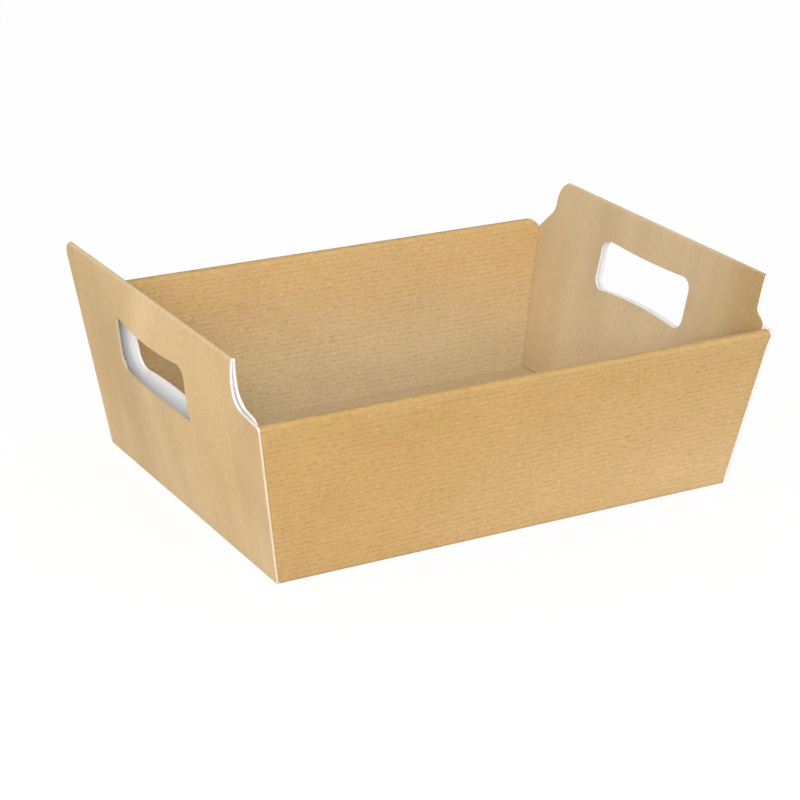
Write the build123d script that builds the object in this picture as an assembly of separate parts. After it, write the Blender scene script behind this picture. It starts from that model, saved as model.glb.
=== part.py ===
from build123d import *
import math
import os

# Board
BOARD = 1.4
LAYER_GAP = 0.3
FOLD_INSIDE = 0.7
FOLD_SOFT = 0.9

# Overall form
BASE_LENGTH = 301.5
BASE_WIDTH = 221.5
RIM_HEIGHT = 100.0
END_HEIGHT = 129.2
END_LEAN = 9.0
LONG_LEAN = 8.4

# Long walls
LONG_WALL = 6.2
LEFT_FRONT_RIM_ROUND = 2.5
RIGHT_FRONT_RIM_ROUND = 4.0
BACK_RIM_ROUND = 14.0
FLAP_SEAM = 1.0

# End walls
END_FOLD_GAP = 0.2
LEFT_FRONT_BITE = 32.0
RIGHT_FRONT_BITE = 14.4
RIGHT_BACK_BITE = 21.0
FRONT_BITE_DROP_SHARE = 0.04
BACK_BITE_DROP_SHARE = 0.29
BITE_FLARE_SHARE = 0.1216
BITE_BOW_SHARE = 0.081
RIGHT_FRONT_FLARE_SHARE = 0.0
RIGHT_FRONT_BOW_SHARE = 0.015
BITE_ROUND = 10.0
BITE_ROUND_SHARE = 0.47
FRONT_TIP_ROUND = 1.2
BACK_TIP_ROUND = 9.0
TIP_ROUND_SHARE = 0.31
LEFT_BULGE = 8.9
RIGHT_BULGE = 0.8
BULGE_HEIGHT_SHARES = (0.0, 0.3, 0.65, 0.85, 1.0)
BULGE_DEPTH_SHARES = (0.0, 0.6, 1.0, 0.75, 0.0)
BOW_ACROSS_SHARES = (-1.02, -0.5, 0.0, 0.5, 1.02)
BOW_DEPTH_SHARES = (0.0, 0.5625, 1.0, 0.5625, 0.0)

# Hand holes
HOLE_LENGTH = 93.0
HOLE_END_HEIGHT = 34.0
GRIP_HEIGHT = 22.55
HOLE_TOP_BOW = 1.6
HOLE_BOTTOM_BOW = 3.2
HOLE_ROUND = 7.5
LEFT_HOLE_TIGHT_ROUND = 2.5
LEFT_OUTER_HOLE_SHIFT = 5.0

# Corner tabs
TAB_FOOT = 8.0
TAB_BELOW_RIM = 25.25
TAB_REACH = 52.0
TAB_TAPER = 12.0

# Cuts run past the board by this much
OVERRUN = 30.0

# Sizes that follow
FOLD_MID = FOLD_INSIDE + BOARD / 2
FOLD_OUTSIDE = FOLD_INSIDE + BOARD
END_SLOPE = math.tan(math.radians(END_LEAN))
END_COS = math.cos(math.radians(END_LEAN))
END_SIN = math.sin(math.radians(END_LEAN))
LONG_SLOPE = math.tan(math.radians(LONG_LEAN))
LONG_COS = math.cos(math.radians(LONG_LEAN))
LONG_SIN = math.sin(math.radians(LONG_LEAN))
END_TURN = 90 - END_LEAN
LONG_TURN = 90 - LONG_LEAN
END_BEND_START = BASE_LENGTH / 2 - FOLD_OUTSIDE * math.tan(math.radians(END_TURN / 2))
LONG_BEND_START = BASE_WIDTH / 2 - FOLD_OUTSIDE * math.tan(math.radians(LONG_TURN / 2))
END_FOLD_MID = (BOARD + END_FOLD_GAP) / 2
CROWN_MID = (LONG_WALL - BOARD) / 2
FLAP_MID_HEIGHT = BOARD + LAYER_GAP + BOARD / 2
FOOT_HEIGHT = BOARD + LAYER_GAP + BOARD + LAYER_GAP
LAYER_STEP = (BOARD + LAYER_GAP) / END_COS
RIM_UP = RIM_HEIGHT / END_COS

# The top fold's middle line and its crest, up the slope of the outer face
FOLD_REACH = END_FOLD_MID + BOARD / 2
FOLD_CENTRE_UP = (END_HEIGHT - FOLD_REACH - FOLD_REACH * END_SIN) / END_COS
CREST_UP = FOLD_CENTRE_UP + FOLD_REACH
PANEL_TOP = CREST_UP + LAYER_GAP
BITE_RISE = PANEL_TOP - RIM_UP
HOLE_CENTRE = CREST_UP - GRIP_HEIGHT - HOLE_END_HEIGHT / 2
TAB_TOP = RIM_UP - TAB_BELOW_RIM

# The inner end panel leans in just enough to leave room for the tabs behind it
TAB_ROOM = BOARD + LAYER_GAP + LAYER_GAP - END_FOLD_GAP
INNER_TURN = math.degrees(math.atan(TAB_ROOM / (FOLD_CENTRE_UP - TAB_TOP)))


def end_half_width(up):
    """Half of an end panel's width at a distance up its slope."""
    return BASE_WIDTH / 2 + up * END_COS * LONG_SLOPE


def end_plane(side):
    """The outer face of an end wall, with its second direction up the slope."""
    normal = (side * END_COS, 0, -END_SIN)
    return Plane(origin=(side * BASE_LENGTH / 2, 0, 0), x_dir=(0, side, 0), z_dir=normal)


def at_back(side, hand):
    """Whether this edge of an end panel is the one by the back long wall."""
    return side * hand > 0


def whole_corner(side, hand):
    """The top corner at the back of the left end is the one without a bite."""
    return side < 0 and at_back(side, hand)


def board_section(start, heading, moves):
    """Board along a middle line of runs and bends; gives the section and where it ends."""
    place = Vector(*start)
    way = Vector(*heading)
    lines = []
    for length, turn in moves:
        if turn == 0:
            line = Line(place, place + way * length)
        else:
            line = JernArc(start=place, tangent=way, radius=length, arc_size=turn)
        lines.append(line)
        place = line @ 1
        way = line % 1
    return trace(lines, BOARD), place, way


def bite(side, hand):
    """The scoop out of an end panel above the rim: a shelf, a rounded corner and a bowed flank.

    The right front one has a flank that is almost straight.
    """
    depth, flare_share, bow_share = LEFT_FRONT_BITE, BITE_FLARE_SHARE, BITE_BOW_SHARE
    if side > 0 and at_back(side, hand):
        depth = RIGHT_BACK_BITE
    elif side > 0:
        depth, flare_share, bow_share = RIGHT_FRONT_BITE, RIGHT_FRONT_FLARE_SHARE, RIGHT_FRONT_BOW_SHARE
    drop = BITE_RISE * (BACK_BITE_DROP_SHARE if at_back(side, hand) else FRONT_BITE_DROP_SHARE)
    inner = end_half_width(RIM_UP) - depth
    tip = inner + BITE_RISE * flare_share
    waist = (inner + tip) / 2 - BITE_RISE * bow_share
    shelf_in = RIM_UP + drop
    shelf_out = RIM_UP - drop
    outer = inner + depth * 2
    far_shelf = shelf_in + (shelf_out - shelf_in) * 2
    over = PANEL_TOP + OVERRUN
    flank_middle = (shelf_in + PANEL_TOP) / 2
    edges = [
        Line((hand * outer, far_shelf), (hand * inner, shelf_in)),
        ThreePointArc((hand * inner, shelf_in), (hand * waist, flank_middle), (hand * tip, PANEL_TOP)),
        Line((hand * tip, PANEL_TOP), (hand * tip, over)),
        Line((hand * tip, over), (hand * outer, over)),
        Line((hand * outer, over), (hand * outer, far_shelf)),
    ]
    scoop = make_face(edges)
    corner = scoop.vertices().sort_by_distance((hand * inner, shelf_in, 0))[0]
    return fillet(corner, min(BITE_ROUND, (PANEL_TOP - shelf_in) * BITE_ROUND_SHARE))


def end_outline(side):
    """The outer end panel seen square on, with a bite beside each top corner that has one."""
    foot = -OVERRUN
    corners = [
        (-end_half_width(foot), foot),
        (end_half_width(foot), foot),
        (end_half_width(PANEL_TOP), PANEL_TOP),
        (-end_half_width(PANEL_TOP), PANEL_TOP),
    ]
    outline = make_face(Polyline(*corners, close=True))
    for hand in (-1, 1):
        if not whole_corner(side, hand):
            outline -= bite(side, hand)
    for hand in (-1, 1):
        tips = outline.vertices().group_by(Axis.Y)[-1].sort_by(Axis((0, 0, 0), (hand, 0, 0)))
        rounding = BACK_TIP_ROUND if at_back(side, hand) else FRONT_TIP_ROUND
        outline = fillet(tips[-1], min(rounding, BITE_RISE * TIP_ROUND_SHARE))
    return outline


def lining_outline(side):
    """The inner end panel seen square on: between the long walls below, as wide as the outer above."""
    inside = LONG_WALL / LONG_COS + LAYER_GAP
    foot = -OVERRUN
    top = CREST_UP + OVERRUN
    shoulder = RIM_UP + LAYER_GAP
    loop = []
    for hand in (1, -1):
        edge = [(hand * (end_half_width(foot) - inside), foot)]
        if whole_corner(side, hand):
            edge.append((hand * (end_half_width(shoulder) - inside), shoulder))
            edge.append((hand * end_half_width(top), shoulder))
            edge.append((hand * end_half_width(top), top))
        else:
            edge.append((hand * (end_half_width(top) - inside), top))
        loop += edge if hand > 0 else edge[::-1]
    return make_face(Polyline(*loop, close=True))


def hand_hole(side):
    """A hand hole with its long edges bowed inward; the left one has two tighter corners, set across it."""
    half = HOLE_LENGTH / 2
    foot = HOLE_CENTRE - HOLE_END_HEIGHT / 2
    top = HOLE_CENTRE + HOLE_END_HEIGHT / 2
    edges = [
        ThreePointArc((-half, foot), (0, foot + HOLE_BOTTOM_BOW), (half, foot)),
        Line((half, foot), (half, top)),
        ThreePointArc((half, top), (0, top - HOLE_TOP_BOW), (-half, top)),
        Line((-half, top), (-half, foot)),
    ]
    hole = make_face(edges)
    tight = LEFT_HOLE_TIGHT_ROUND if side < 0 else HOLE_ROUND
    roundings = [(-half, foot, HOLE_ROUND), (half, foot, tight), (half, top, HOLE_ROUND), (-half, top, tight)]
    for across, up, rounding in roundings:
        corner = hole.vertices().sort_by_distance((across, up, 0))[0]
        hole = fillet(corner, rounding)
    return hole


def bowed_panel(face, foot, top, bulge):
    """The outer end panel between its folds: flat along its edges and bowed outward in the middle."""
    sections = []
    for height_share, depth_share in zip(BULGE_HEIGHT_SHARES, BULGE_DEPTH_SHARES):
        up = foot + (top - foot) * height_share
        half = end_half_width(up)
        outside = []
        for across_share, bow_share in zip(BOW_ACROSS_SHARES, BOW_DEPTH_SHARES):
            outside.append((half * across_share, -bulge * depth_share * bow_share))
        inside = [(across, out + BOARD) for across, out in reversed(outside)]
        level = Plane(origin=face.from_local_coords((0, up, 0)), x_dir=face.x_dir, z_dir=face.y_dir)
        edges = [
            Spline(*outside, tangents=[(1, 0), (1, 0)]),
            Line(outside[-1], inside[0]),
            Spline(*inside, tangents=[(-1, 0), (-1, 0)]),
            Line(inside[-1], outside[0]),
        ]
        sections.append(level * make_face(edges))
    return loft(sections)


def end_wall(side, bulge):
    """An end wall: base fold, outer panel, top fold and the inner panel down to the floor.

    The two panels' holes do not quite meet on the left end.
    """
    face = end_plane(side)
    upright = Plane(origin=(0, 0, 0), x_dir=(side, 0, 0), z_dir=(0, -side, 0))
    wide = end_half_width(CREST_UP) + OVERRUN

    foot_bend, place, way = board_section((END_BEND_START, BOARD / 2), (1, 0), [(FOLD_MID, END_TURN)])
    panel_foot = FOLD_OUTSIDE * math.tan(math.radians(END_TURN / 2))
    run = FOLD_CENTRE_UP - panel_foot
    fold_start = place + way * run
    fold_moves = [(END_FOLD_MID, 180 - INNER_TURN)]
    top_fold, place, way = board_section((fold_start.X, fold_start.Y), (way.X, way.Y), fold_moves)
    inner_run = (place.Y - FOOT_HEIGHT - BOARD * abs(way.X) / 2) / abs(way.Y)
    inner, place, way = board_section((place.X, place.Y), (way.X, way.Y), [(inner_run, 0)])

    outline = extrude(face * end_outline(side), OVERRUN, both=True)
    hole = extrude(face * hand_hole(side), OVERRUN, both=True)
    outer_hole = Pos(0, LEFT_OUTER_HOLE_SHIFT, 0) * hole if side < 0 else hole
    outer = extrude(upright * foot_bend, wide, both=True)
    outer += bowed_panel(face, panel_foot, FOLD_CENTRE_UP, bulge)
    outer += extrude(upright * top_fold, wide, both=True)
    outer = (outer & outline) - outer_hole

    lined = extrude(upright * inner, wide, both=True)
    lined &= extrude(face * lining_outline(side), OVERRUN, both=True)
    lined = (lined & outline) - hole
    return outer + lined


def long_outline(side, step):
    """A long wall seen from the front, its ends one or more board layers inside the end walls."""
    foot = -OVERRUN
    top = RIM_HEIGHT + LAYER_GAP
    foot_half = BASE_LENGTH / 2 + foot * END_SLOPE - step
    top_half = BASE_LENGTH / 2 + top * END_SLOPE - step
    corners = [(-foot_half, foot), (foot_half, foot), (top_half, top), (-top_half, top)]
    outline = make_face(Polyline(*corners, close=True))
    left_round = LEFT_FRONT_RIM_ROUND if side < 0 else BACK_RIM_ROUND
    right_round = RIGHT_FRONT_RIM_ROUND if side < 0 else BACK_RIM_ROUND
    for end, rounding in ((0, left_round), (-1, right_round)):
        top_corners = outline.vertices().group_by(Axis.Y)[-1].sort_by(Axis.X)
        outline = fillet(top_corners[end], rounding)
    return extrude(Plane.XZ * outline, BASE_WIDTH, both=True)


def corner_tab(side, hand):
    """A tab on a long wall's end, folded in behind the outer end panel."""
    layer = end_plane(side).offset(-BOARD - LAYER_GAP)
    turn = side * hand
    reach_foot = end_half_width(TAB_FOOT) - TAB_REACH
    reach_top = end_half_width(TAB_TOP) - TAB_REACH
    corners = [
        (turn * (end_half_width(TAB_FOOT) - BOARD / 2), TAB_FOOT),
        (turn * reach_foot, TAB_FOOT + TAB_TAPER),
        (turn * reach_top, TAB_TOP - TAB_TAPER),
        (turn * (end_half_width(TAB_TOP) - BOARD / 2), TAB_TOP),
    ]
    return extrude(layer * make_face(Polyline(*corners, close=True)), -BOARD)


def long_wall(side):
    """A long wall: base fold, outer panel, round rim, inner panel and its flap on the floor."""
    upright = Plane(origin=(0, 0, 0), x_dir=(0, side, 0), z_dir=(side, 0, 0))
    long = BASE_LENGTH + OVERRUN

    bend, place, way = board_section((LONG_BEND_START, BOARD / 2), (1, 0), [(FOLD_MID, LONG_TURN)])
    crown_height = RIM_HEIGHT - CROWN_MID - BOARD / 2 - CROWN_MID * LONG_SIN
    run = (crown_height - place.Y) / LONG_COS
    panel, place, way = board_section((place.X, place.Y), (way.X, way.Y), [(run, 0)])
    crown, place, way = board_section((place.X, place.Y), (way.X, way.Y), [(CROWN_MID, 180)])
    bend_drop = FOLD_MID * (1 - math.cos(math.radians(LONG_TURN)))
    inner_run = (place.Y - FLAP_MID_HEIGHT - bend_drop) / LONG_COS
    inner_moves = [(inner_run, 0), (FOLD_MID, -LONG_TURN)]
    inner, place, way = board_section((place.X, place.Y), (way.X, way.Y), inner_moves)
    flap, place, way = board_section((place.X, place.Y), (-1, 0), [(place.X - FLAP_SEAM / 2, 0)])

    outer = extrude(upright * panel, long, both=True)
    outer &= long_outline(side, LAYER_STEP)
    for end in (-1, 1):
        outer += corner_tab(end, side)
        corner = Vector(end * END_SLOPE, side * LONG_SLOPE, 1).normalized()
        along = outer.edges().filter_by(Axis((0, 0, 0), corner))
        outer = fillet(along.sort_by(Axis((0, 0, 0), (end, side, 0)))[-1], FOLD_SOFT)
    foot = extrude(upright * bend, END_BEND_START - LAYER_GAP, both=True)
    outer += extrude(upright * crown, long, both=True) & long_outline(side, LAYER_STEP)
    lining = extrude(upright * inner, long, both=True)
    lining += extrude(upright * flap, long, both=True)
    lining &= long_outline(side, LAYER_STEP + LAYER_STEP)
    return foot + outer + lining


# The sheet, folded up
base = Pos(0, 0, BOARD / 2) * Box(END_BEND_START * 2, LONG_BEND_START * 2, BOARD)
basket = base
for wall_side in (-1, 1):
    basket += long_wall(wall_side)
for wall_side, wall_bulge in ((-1, LEFT_BULGE), (1, RIGHT_BULGE)):
    basket += end_wall(wall_side, wall_bulge)

os.makedirs("parts", exist_ok=True)
export_step(basket, "parts/folded_basket.step")
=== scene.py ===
"""A basket folded from one sheet of ribbed kraft board: the sheet is cut flat, folded up and finished."""
import math

import bmesh
import bpy
from bpy.props import FloatProperty, FloatVectorProperty, PointerProperty
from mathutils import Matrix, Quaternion, Vector, geometry


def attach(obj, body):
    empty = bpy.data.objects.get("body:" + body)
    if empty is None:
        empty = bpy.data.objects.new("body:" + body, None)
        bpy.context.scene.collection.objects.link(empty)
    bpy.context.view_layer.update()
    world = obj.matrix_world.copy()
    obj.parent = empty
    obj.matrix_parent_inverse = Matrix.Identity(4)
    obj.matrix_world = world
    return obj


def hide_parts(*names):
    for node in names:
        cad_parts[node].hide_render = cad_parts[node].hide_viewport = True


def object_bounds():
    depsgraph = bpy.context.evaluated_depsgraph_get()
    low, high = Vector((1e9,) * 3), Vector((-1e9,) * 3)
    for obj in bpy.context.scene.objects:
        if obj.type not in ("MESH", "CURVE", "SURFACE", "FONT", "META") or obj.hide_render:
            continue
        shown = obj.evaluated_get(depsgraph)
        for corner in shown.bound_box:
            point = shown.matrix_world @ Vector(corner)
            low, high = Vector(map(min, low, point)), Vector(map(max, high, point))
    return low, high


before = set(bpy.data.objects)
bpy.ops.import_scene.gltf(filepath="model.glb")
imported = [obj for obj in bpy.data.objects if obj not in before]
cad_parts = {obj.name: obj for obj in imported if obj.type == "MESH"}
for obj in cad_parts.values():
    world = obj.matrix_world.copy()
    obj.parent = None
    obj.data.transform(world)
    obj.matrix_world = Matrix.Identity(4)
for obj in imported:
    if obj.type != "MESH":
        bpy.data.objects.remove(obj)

bl_info = {
    "name": "Folded kraft basket",
    "version": (1, 0, 0),
    "blender": (4, 5, 0),
    "location": "View3D > Sidebar > Basket",
    "description": "Cuts, folds and finishes a kraft board basket and sets its stage",
    "category": "Object",
}

CAD_LOW, CAD_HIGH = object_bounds()
NODE = "folded_basket"
BLANK_MAP = "flat_sheet"
LEFT, RIGHT = -1, 1
FRONT, BACK = -1, 1
WHITE = (1.0, 1.0, 1.0, 1.0)

# Heights up an end panel, and how much of its bow shows there, all as shares
BULGE_SHARES = ((0.0, 0.0), (0.3, 0.6), (0.65, 1.0), (0.85, 0.75), (1.0, 0.0))
# Power of the bow's fall across the panel, and the share of the width before it falls faster
BOW_FADE, BOW_KEPT = 2.5, 0.4
# Lengths of wall over which a tab's turn eases in, at the foot and below the rim
EASE_FOOT, EASE_RIM = 0.004, 0.012
# Widths that count as nothing: of a cut, of a weld and of a step in height
SLIT, WELD, LEVEL = 0.0001, 1e-7, 1e-9
# Steps of the mesh round a tab's fold, a rounded rim's end, a crown and a softened edge
TAB_PARTS, RIM_PARTS, CROWN_PARTS, SOFT_PARTS = 5, 8, 12, 2
SOFT_ANGLE = math.radians(50.0)
FLOOR_PARTS = 2
CAMERA_CLIP = (0.05, 40.0)


def length(name, description, default):
    """A size in metres that a user can change."""
    return FloatProperty(
        name=name, description=description, default=default, min=0.0, unit="LENGTH", precision=4
    )


def angle(name, description, degrees):
    """An angle that a user can change."""
    return FloatProperty(name=name, description=description, default=math.radians(degrees), subtype="ANGLE")


def share(name, description, default):
    """A plain factor that a user can change."""
    return FloatProperty(name=name, description=description, default=default, min=0.0, subtype="FACTOR")


def power(name, description, watts):
    """A lamp's power that a user can change."""
    return FloatProperty(name=name, description=description, default=watts, min=0.0, unit="POWER")


def colour(name, description, rgb):
    """A surface colour that a user can change."""
    return FloatVectorProperty(
        name=name, description=description, default=(*rgb, 1.0), size=4, min=0.0, max=1.0, subtype="COLOR"
    )


def factors(name, description, rgb):
    """Factors on a colour that a user can change."""
    return FloatVectorProperty(name=name, description=description, default=(*rgb, 1.0), size=4, min=0.0)


class BasketSheet(bpy.types.PropertyGroup):
    """Sizes of the board, its walls and its cuts."""

    board: length("Board", "Thickness of the board", 0.0014)
    layer_gap: length("Layer gap", "Air between boards that lie together", 0.0003)
    fold_inside: length("Fold inside", "Inside radius of a fold at the base", 0.0007)
    tab_bend: length("Tab bend", "Radius of a corner tab's fold", 0.0009)
    base_length: length("Base length", "Length of the base", 0.3015)
    base_width: length("Base width", "Width of the base", 0.2215)
    rim_height: length("Rim height", "Height of the long walls", 0.1)
    end_height: length("End height", "Height of the end walls", CAD_HIGH.z)
    end_lean: angle("End lean", "Lean of the end walls", 9.0)
    long_lean: angle("Long lean", "Lean of the long walls", 8.4)
    long_wall: length("Long wall", "Thickness of a doubled long wall", 0.0062)
    left_front_rim_round: length("Left front rim round", "Rounding at the front rim's left end", 0.0025)
    right_front_rim_round: length("Right front rim round", "Rounding at the front rim's right end", 0.004)
    back_rim_round: length("Back rim round", "Reach of the back rim's end roundings", 0.0115)
    back_rim_drop: length("Back rim drop", "Fall of the back rim's end roundings", 0.0065)
    flap_seam: length("Flap seam", "Gap between the two floor flaps", 0.001)
    end_fold_gap: length("End fold gap", "Air inside the top fold of an end wall", 0.0002)
    left_front_bite: length("Left front bite", "Reach of the left front scoop", 0.032)
    right_front_bite: length("Right front bite", "Reach of the right front scoop", 0.0144)
    right_back_bite: length("Right back bite", "Reach of the right back scoop", 0.021)
    left_front_drop: share("Left front drop", "Height of the left front shelf, as a share of its rise", 0.0)
    right_front_drop: share("Right front drop", "Height of the right front shelf", 0.04)
    right_back_drop: share("Right back drop", "Height of the right back shelf", 0.29)
    back_shelf_fall: share("Back shelf fall", "Steepness of the right back shelf", 1.02)
    left_flare: share("Left flare", "Lean of the left front flank, as a share of its rise", 0.1216)
    left_bow: share("Left bow", "Bow of the left front flank, as a share of its rise", 0.081)
    right_flare: share("Right flare", "Lean of the right scoops' flanks", 0.0)
    right_bow: share("Right bow", "Bow of the right scoops' flanks", 0.015)
    bite_round: length("Bite round", "Rounding at the foot of a scoop", 0.01)
    corner_round: length("Corner round", "Rounding at the outer end of the left front scoop", 0.0015)
    front_tip_round: length("Front tip round", "Rounding of the front top corners", 0.0012)
    left_back_tip_round: length("Left back tip round", "Rounding of the left back top corner", 0.009)
    right_back_tip_round: length("Right back tip round", "Rounding of the right back top corner", 0.0115)
    corner_lean: length("Corner lean", "Extra lean of the left front corner", 0.0031)
    corner_reach: length("Corner reach", "Fade of that lean along the end wall", 0.036)
    corner_run: length("Corner run", "Fade of that lean along the front wall", 0.065)
    left_bulge: length("Left bulge", "Bow of the left outer panel", 0.0089)
    right_bulge: length("Right bulge", "Bow of the right outer panel", 0.0008)
    hole_length: length("Hole length", "Length of a hand hole", 0.093)
    hole_end_height: length("Hole height", "Height of a hand hole at its ends", 0.034)
    grip_height: length("Grip height", "Board above a hand hole", 0.02255)
    hole_top_bow: length("Hole top bow", "Sag of a hand hole's upper edge", 0.0016)
    hole_bottom_bow: length("Hole bottom bow", "Rise of a hand hole's lower edge", 0.0032)
    hole_round: length("Hole round", "Rounding of a hand hole's corners", 0.0075)
    left_hole_tight_round: length("Tight round", "Rounding of the left hole's tight corners", 0.0025)
    left_outer_hole_shift: length("Hole shift", "Shift of the left outer hole to the back", 0.005)
    lining_cut: length("Lining cut", "Corner cut off the left front lining", 0.004)
    tab_foot: length("Tab foot", "Height of a corner tab's foot", 0.008)
    tab_below_rim: length("Tab below rim", "Gap from a corner tab to the rim", 0.02525)
    tab_reach: length("Tab reach", "Reach of a corner tab", 0.052)
    tab_taper: length("Tab taper", "Slant of a corner tab's edges", 0.012)
    edge_soft: length("Edge softness", "Softening of the board's cut edges", 0.00016)
    flat_step: length("Mesh step", "Spacing of the mesh over flat board", 0.0065)
    bend_step: angle("Bend step", "Turn of one mesh step round a fold", 15.0)


class BasketLook(bpy.types.PropertyGroup):
    """Colours and grain of the board; some of the colours hold painted light and shade."""

    kraft: colour("Kraft", "Kraft face of the long walls", (0.465, 0.286, 0.104))
    # On the end walls this pale kraft and the streak colour below are painted sheen, light laid into the
    # kraft there; the pale kraft also tints the reverse's faint ribs and the dust on the cut edges
    kraft_pale: colour("Pale kraft", "Kraft face of the end walls", (0.645, 0.45, 0.232))
    streak: colour("Streak", "Palest kraft down the middle of the end walls", (0.79, 0.60, 0.365))
    # The inside colours on these lines are painted light and shade: the kraft is made lighter and duller
    # inside than out, greyer and lighter towards the floor, lightest low inside the end walls, and darker
    # inside them towards the front
    inside_top: colour("Inside top", "Kraft at the top of the long walls' inside", (0.58, 0.382, 0.17))
    inside: colour("Inside", "Kraft low inside the long walls and on the floor", (0.575, 0.447, 0.268))
    inside_pale: colour("Pale inside", "Kraft at the top of the end walls' inside", (0.575, 0.437, 0.262))
    inside_low: colour("Low inside", "Kraft low on the inside of the end walls", (0.70, 0.545, 0.345))
    inside_back: colour("Back inside", "Kraft inside the end walls towards the back", (0.585, 0.437, 0.25))
    inside_tan: colour("Tan inside", "Kraft inside the end walls towards the front", (0.455, 0.31, 0.14))
    rose: colour("Rose", "Tint of the warmer patches", (1.0, 0.95, 0.98))
    straw: colour("Straw", "Tint of the yellower patches", (0.965, 1.0, 0.88))
    lighter: factors("Lighter", "Factors for the lightest fibres", (1.2, 1.22, 1.3))
    darker: factors("Darker", "Factors for the darkest fibres", (0.8, 0.78, 0.7))
    fold_worn: colour("Worn fold", "Kraft rubbed pale along the top folds", (0.83, 0.68, 0.46))
    reverse: colour("Reverse", "White reverse of the board", (0.985, 0.975, 0.98))
    core: colour("Core", "White core at the cut edges", (0.86, 0.82, 0.785))
    rib_pitch: length("Rib pitch", "Spacing of the ribs in the kraft", 0.0031)


class BasketStage(bpy.types.PropertyGroup):
    """Camera, floor and lamps."""

    aim: FloatVectorProperty(
        name="Aim",
        description="Point the camera looks at",
        default=(-0.015734, -0.007019, 0.046574),
        unit="LENGTH",
    )
    distance: length("Distance", "Camera distance from its aim", 1.4)
    azimuth: angle("Azimuth", "Turn of the camera", -30.307)
    elevation: angle("Elevation", "Height angle of the camera", 21.668)
    roll: angle("Roll", "Tilt of the camera about its view", 1.348)
    lens: FloatProperty(name="Lens", description="Focal length", default=105.92, unit="CAMERA")
    floor_size: length("Floor size", "Half width of the floor", 6.0)
    floor_drop: length("Floor drop", "Clearance between floor and base", 0.0002)
    floor_glow: share("Floor glow", "Share of the floor that no shadow dims", 0.93)
    floor_tone: share("Floor tone", "Share of the light that the floor throws back", 0.66)
    key_power: power("Key power", "Power of the front lamp", 8.0)
    key_azimuth: angle("Key azimuth", "Turn of the front lamp", -18.0)
    key_elevation: angle("Key elevation", "Height angle of the front lamp", 46.0)
    fill_power: power("Fill power", "Power of the left lamp", 23.0)
    fill_azimuth: angle("Fill azimuth", "Turn of the left lamp", -46.0)
    fill_elevation: angle("Fill elevation", "Height angle of the left lamp", 17.0)
    lamp_distance: length("Lamp distance", "Distance of the lamps", 2.6)
    lamp_size: length("Lamp size", "Width of the front and left lamps", 1.8)
    near_power: power("Near power", "Power of the camera's lamp", 27.0)
    near_azimuth: angle("Near azimuth", "Turn of the camera's lamp", -26.5)
    near_elevation: angle("Near elevation", "Height angle of the camera's lamp", 23.0)
    near_size: length("Near size", "Width of the camera's lamp", 0.6)
    sky: share("Sky", "Strength of the even light all round", 0.66)


# Shape of the folded sheet


class FoldLine:
    """The middle line of a wall's section, followed outward from the base: straight runs and round bends."""

    def __init__(self, start):
        self.stretches = []
        self.end = Vector(start)
        self.heading = 0.0
        self.length = 0.0

    def run(self, distance, turn=0.0):
        """Adds a straight run, or a bend that turns by an angle over that distance."""
        self.stretches.append((self.length, distance, self.end, self.heading, turn))
        self.length += distance
        self.end = self.place(self.length)
        self.heading += turn

    def bend(self, radius, turn):
        """Adds a bend of that radius."""
        self.run(radius * abs(turn), turn)

    def place(self, distance, lift=0.0):
        """The point at a distance along the line, lifted off it to the left."""
        started = [stretch for stretch in self.stretches if stretch[0] <= distance]
        first, whole, start, heading, turn = started[-1]
        gone = distance - first
        along = Vector((math.cos(heading), math.sin(heading)))
        curve = turn / whole
        if curve == 0.0:
            return start + along * gone + along.orthogonal() * lift
        swept = curve * gone
        ahead = math.sin(swept) / curve
        aside = (1.0 - math.cos(swept)) / curve
        lean = Vector((math.cos(heading + swept), math.sin(heading + swept))).orthogonal()
        return start + along * ahead + along.orthogonal() * aside + lean * lift

    def stations(self, flat_step, bend_step):
        """Distances at which the sheet is divided so that it follows the line."""
        found = []
        for first, whole, _, _, turn in self.stretches:
            parts = max(1, round(abs(turn) / bend_step if turn else whole / flat_step))
            found += [first + whole * part / parts for part in range(parts)]
        return found + [self.length]


def leave(tip, points, reach):
    """Follows points away from a tip for a reach: the place, the way there and the points beyond."""
    last = tip
    for index, point in enumerate(points):
        step = point - last
        if step.length >= reach:
            return last + step.normalized() * reach, step.normalized(), points[index:]
        reach -= step.length
        last = point
    raise ValueError("a rounding is longer than the edge beside it")


def rounded(path, corner, radius, steps=8):
    """A path with one of its points rounded off by a curve of that radius."""
    tip = path[corner]
    before, after = path[:corner][::-1], path[corner + 1:]
    wedge = (before[0] - tip).angle(after[0] - tip)
    reach = radius / math.tan(wedge / 2)
    start, way_in, before = leave(tip, before, reach)
    finish, way_out, after = leave(tip, after, reach)
    pull = radius * 4 / 3 * math.tan((math.pi - wedge) / 4)
    curve = geometry.interpolate_bezier(start, start - way_in * pull, finish - way_out * pull, finish, steps)
    return before[::-1] + [Vector(point[:2]) for point in curve] + after


def bowed(start, finish, bow, steps=14):
    """Points from start to finish along a shallow curve that bows to the left by that much."""
    across = finish - start
    left = across.normalized().orthogonal()
    shares = [step / steps for step in range(steps + 1)]
    return [start + across * part + left * (bow * 4 * part * (1 - part)) for part in shares]


def smooth(value):
    """A value held between nothing and one, with soft ends."""
    held = min(max(value, 0.0), 1.0)
    return held * held * (3.0 - 2.0 * held)


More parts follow.
